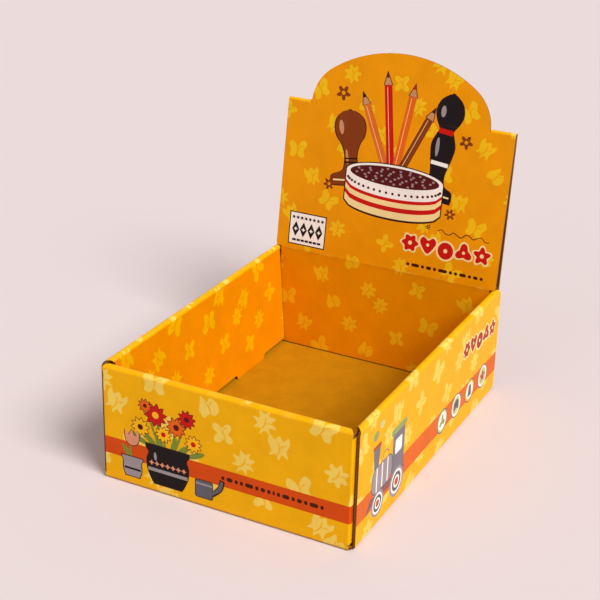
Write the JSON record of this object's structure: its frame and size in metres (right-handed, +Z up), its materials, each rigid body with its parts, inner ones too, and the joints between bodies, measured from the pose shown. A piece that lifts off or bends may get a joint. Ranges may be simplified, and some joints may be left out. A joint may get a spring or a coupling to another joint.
{
  "type": "folding counter display carton",
  "caption": "Open counter display tray folded from one sheet of printed board, with rolled wall tops and a tall arched header.",
  "frame": {"origin": "centre of the underside of the base, midway between the outer faces of the walls", "axes": "+X to the right seen from the front, +Y from the low front wall toward the header, +Z up"},
  "size_m": [0.19, 0.2716, 0.2495],
  "materials": {
    "printed_board": "orange print with a pale pattern on the outer liner, bare brown liner inside the tray"
  },
  "bodies": {
    "root": {"folded_display_carton": "printed_board"}
  },
  "joints": []
}
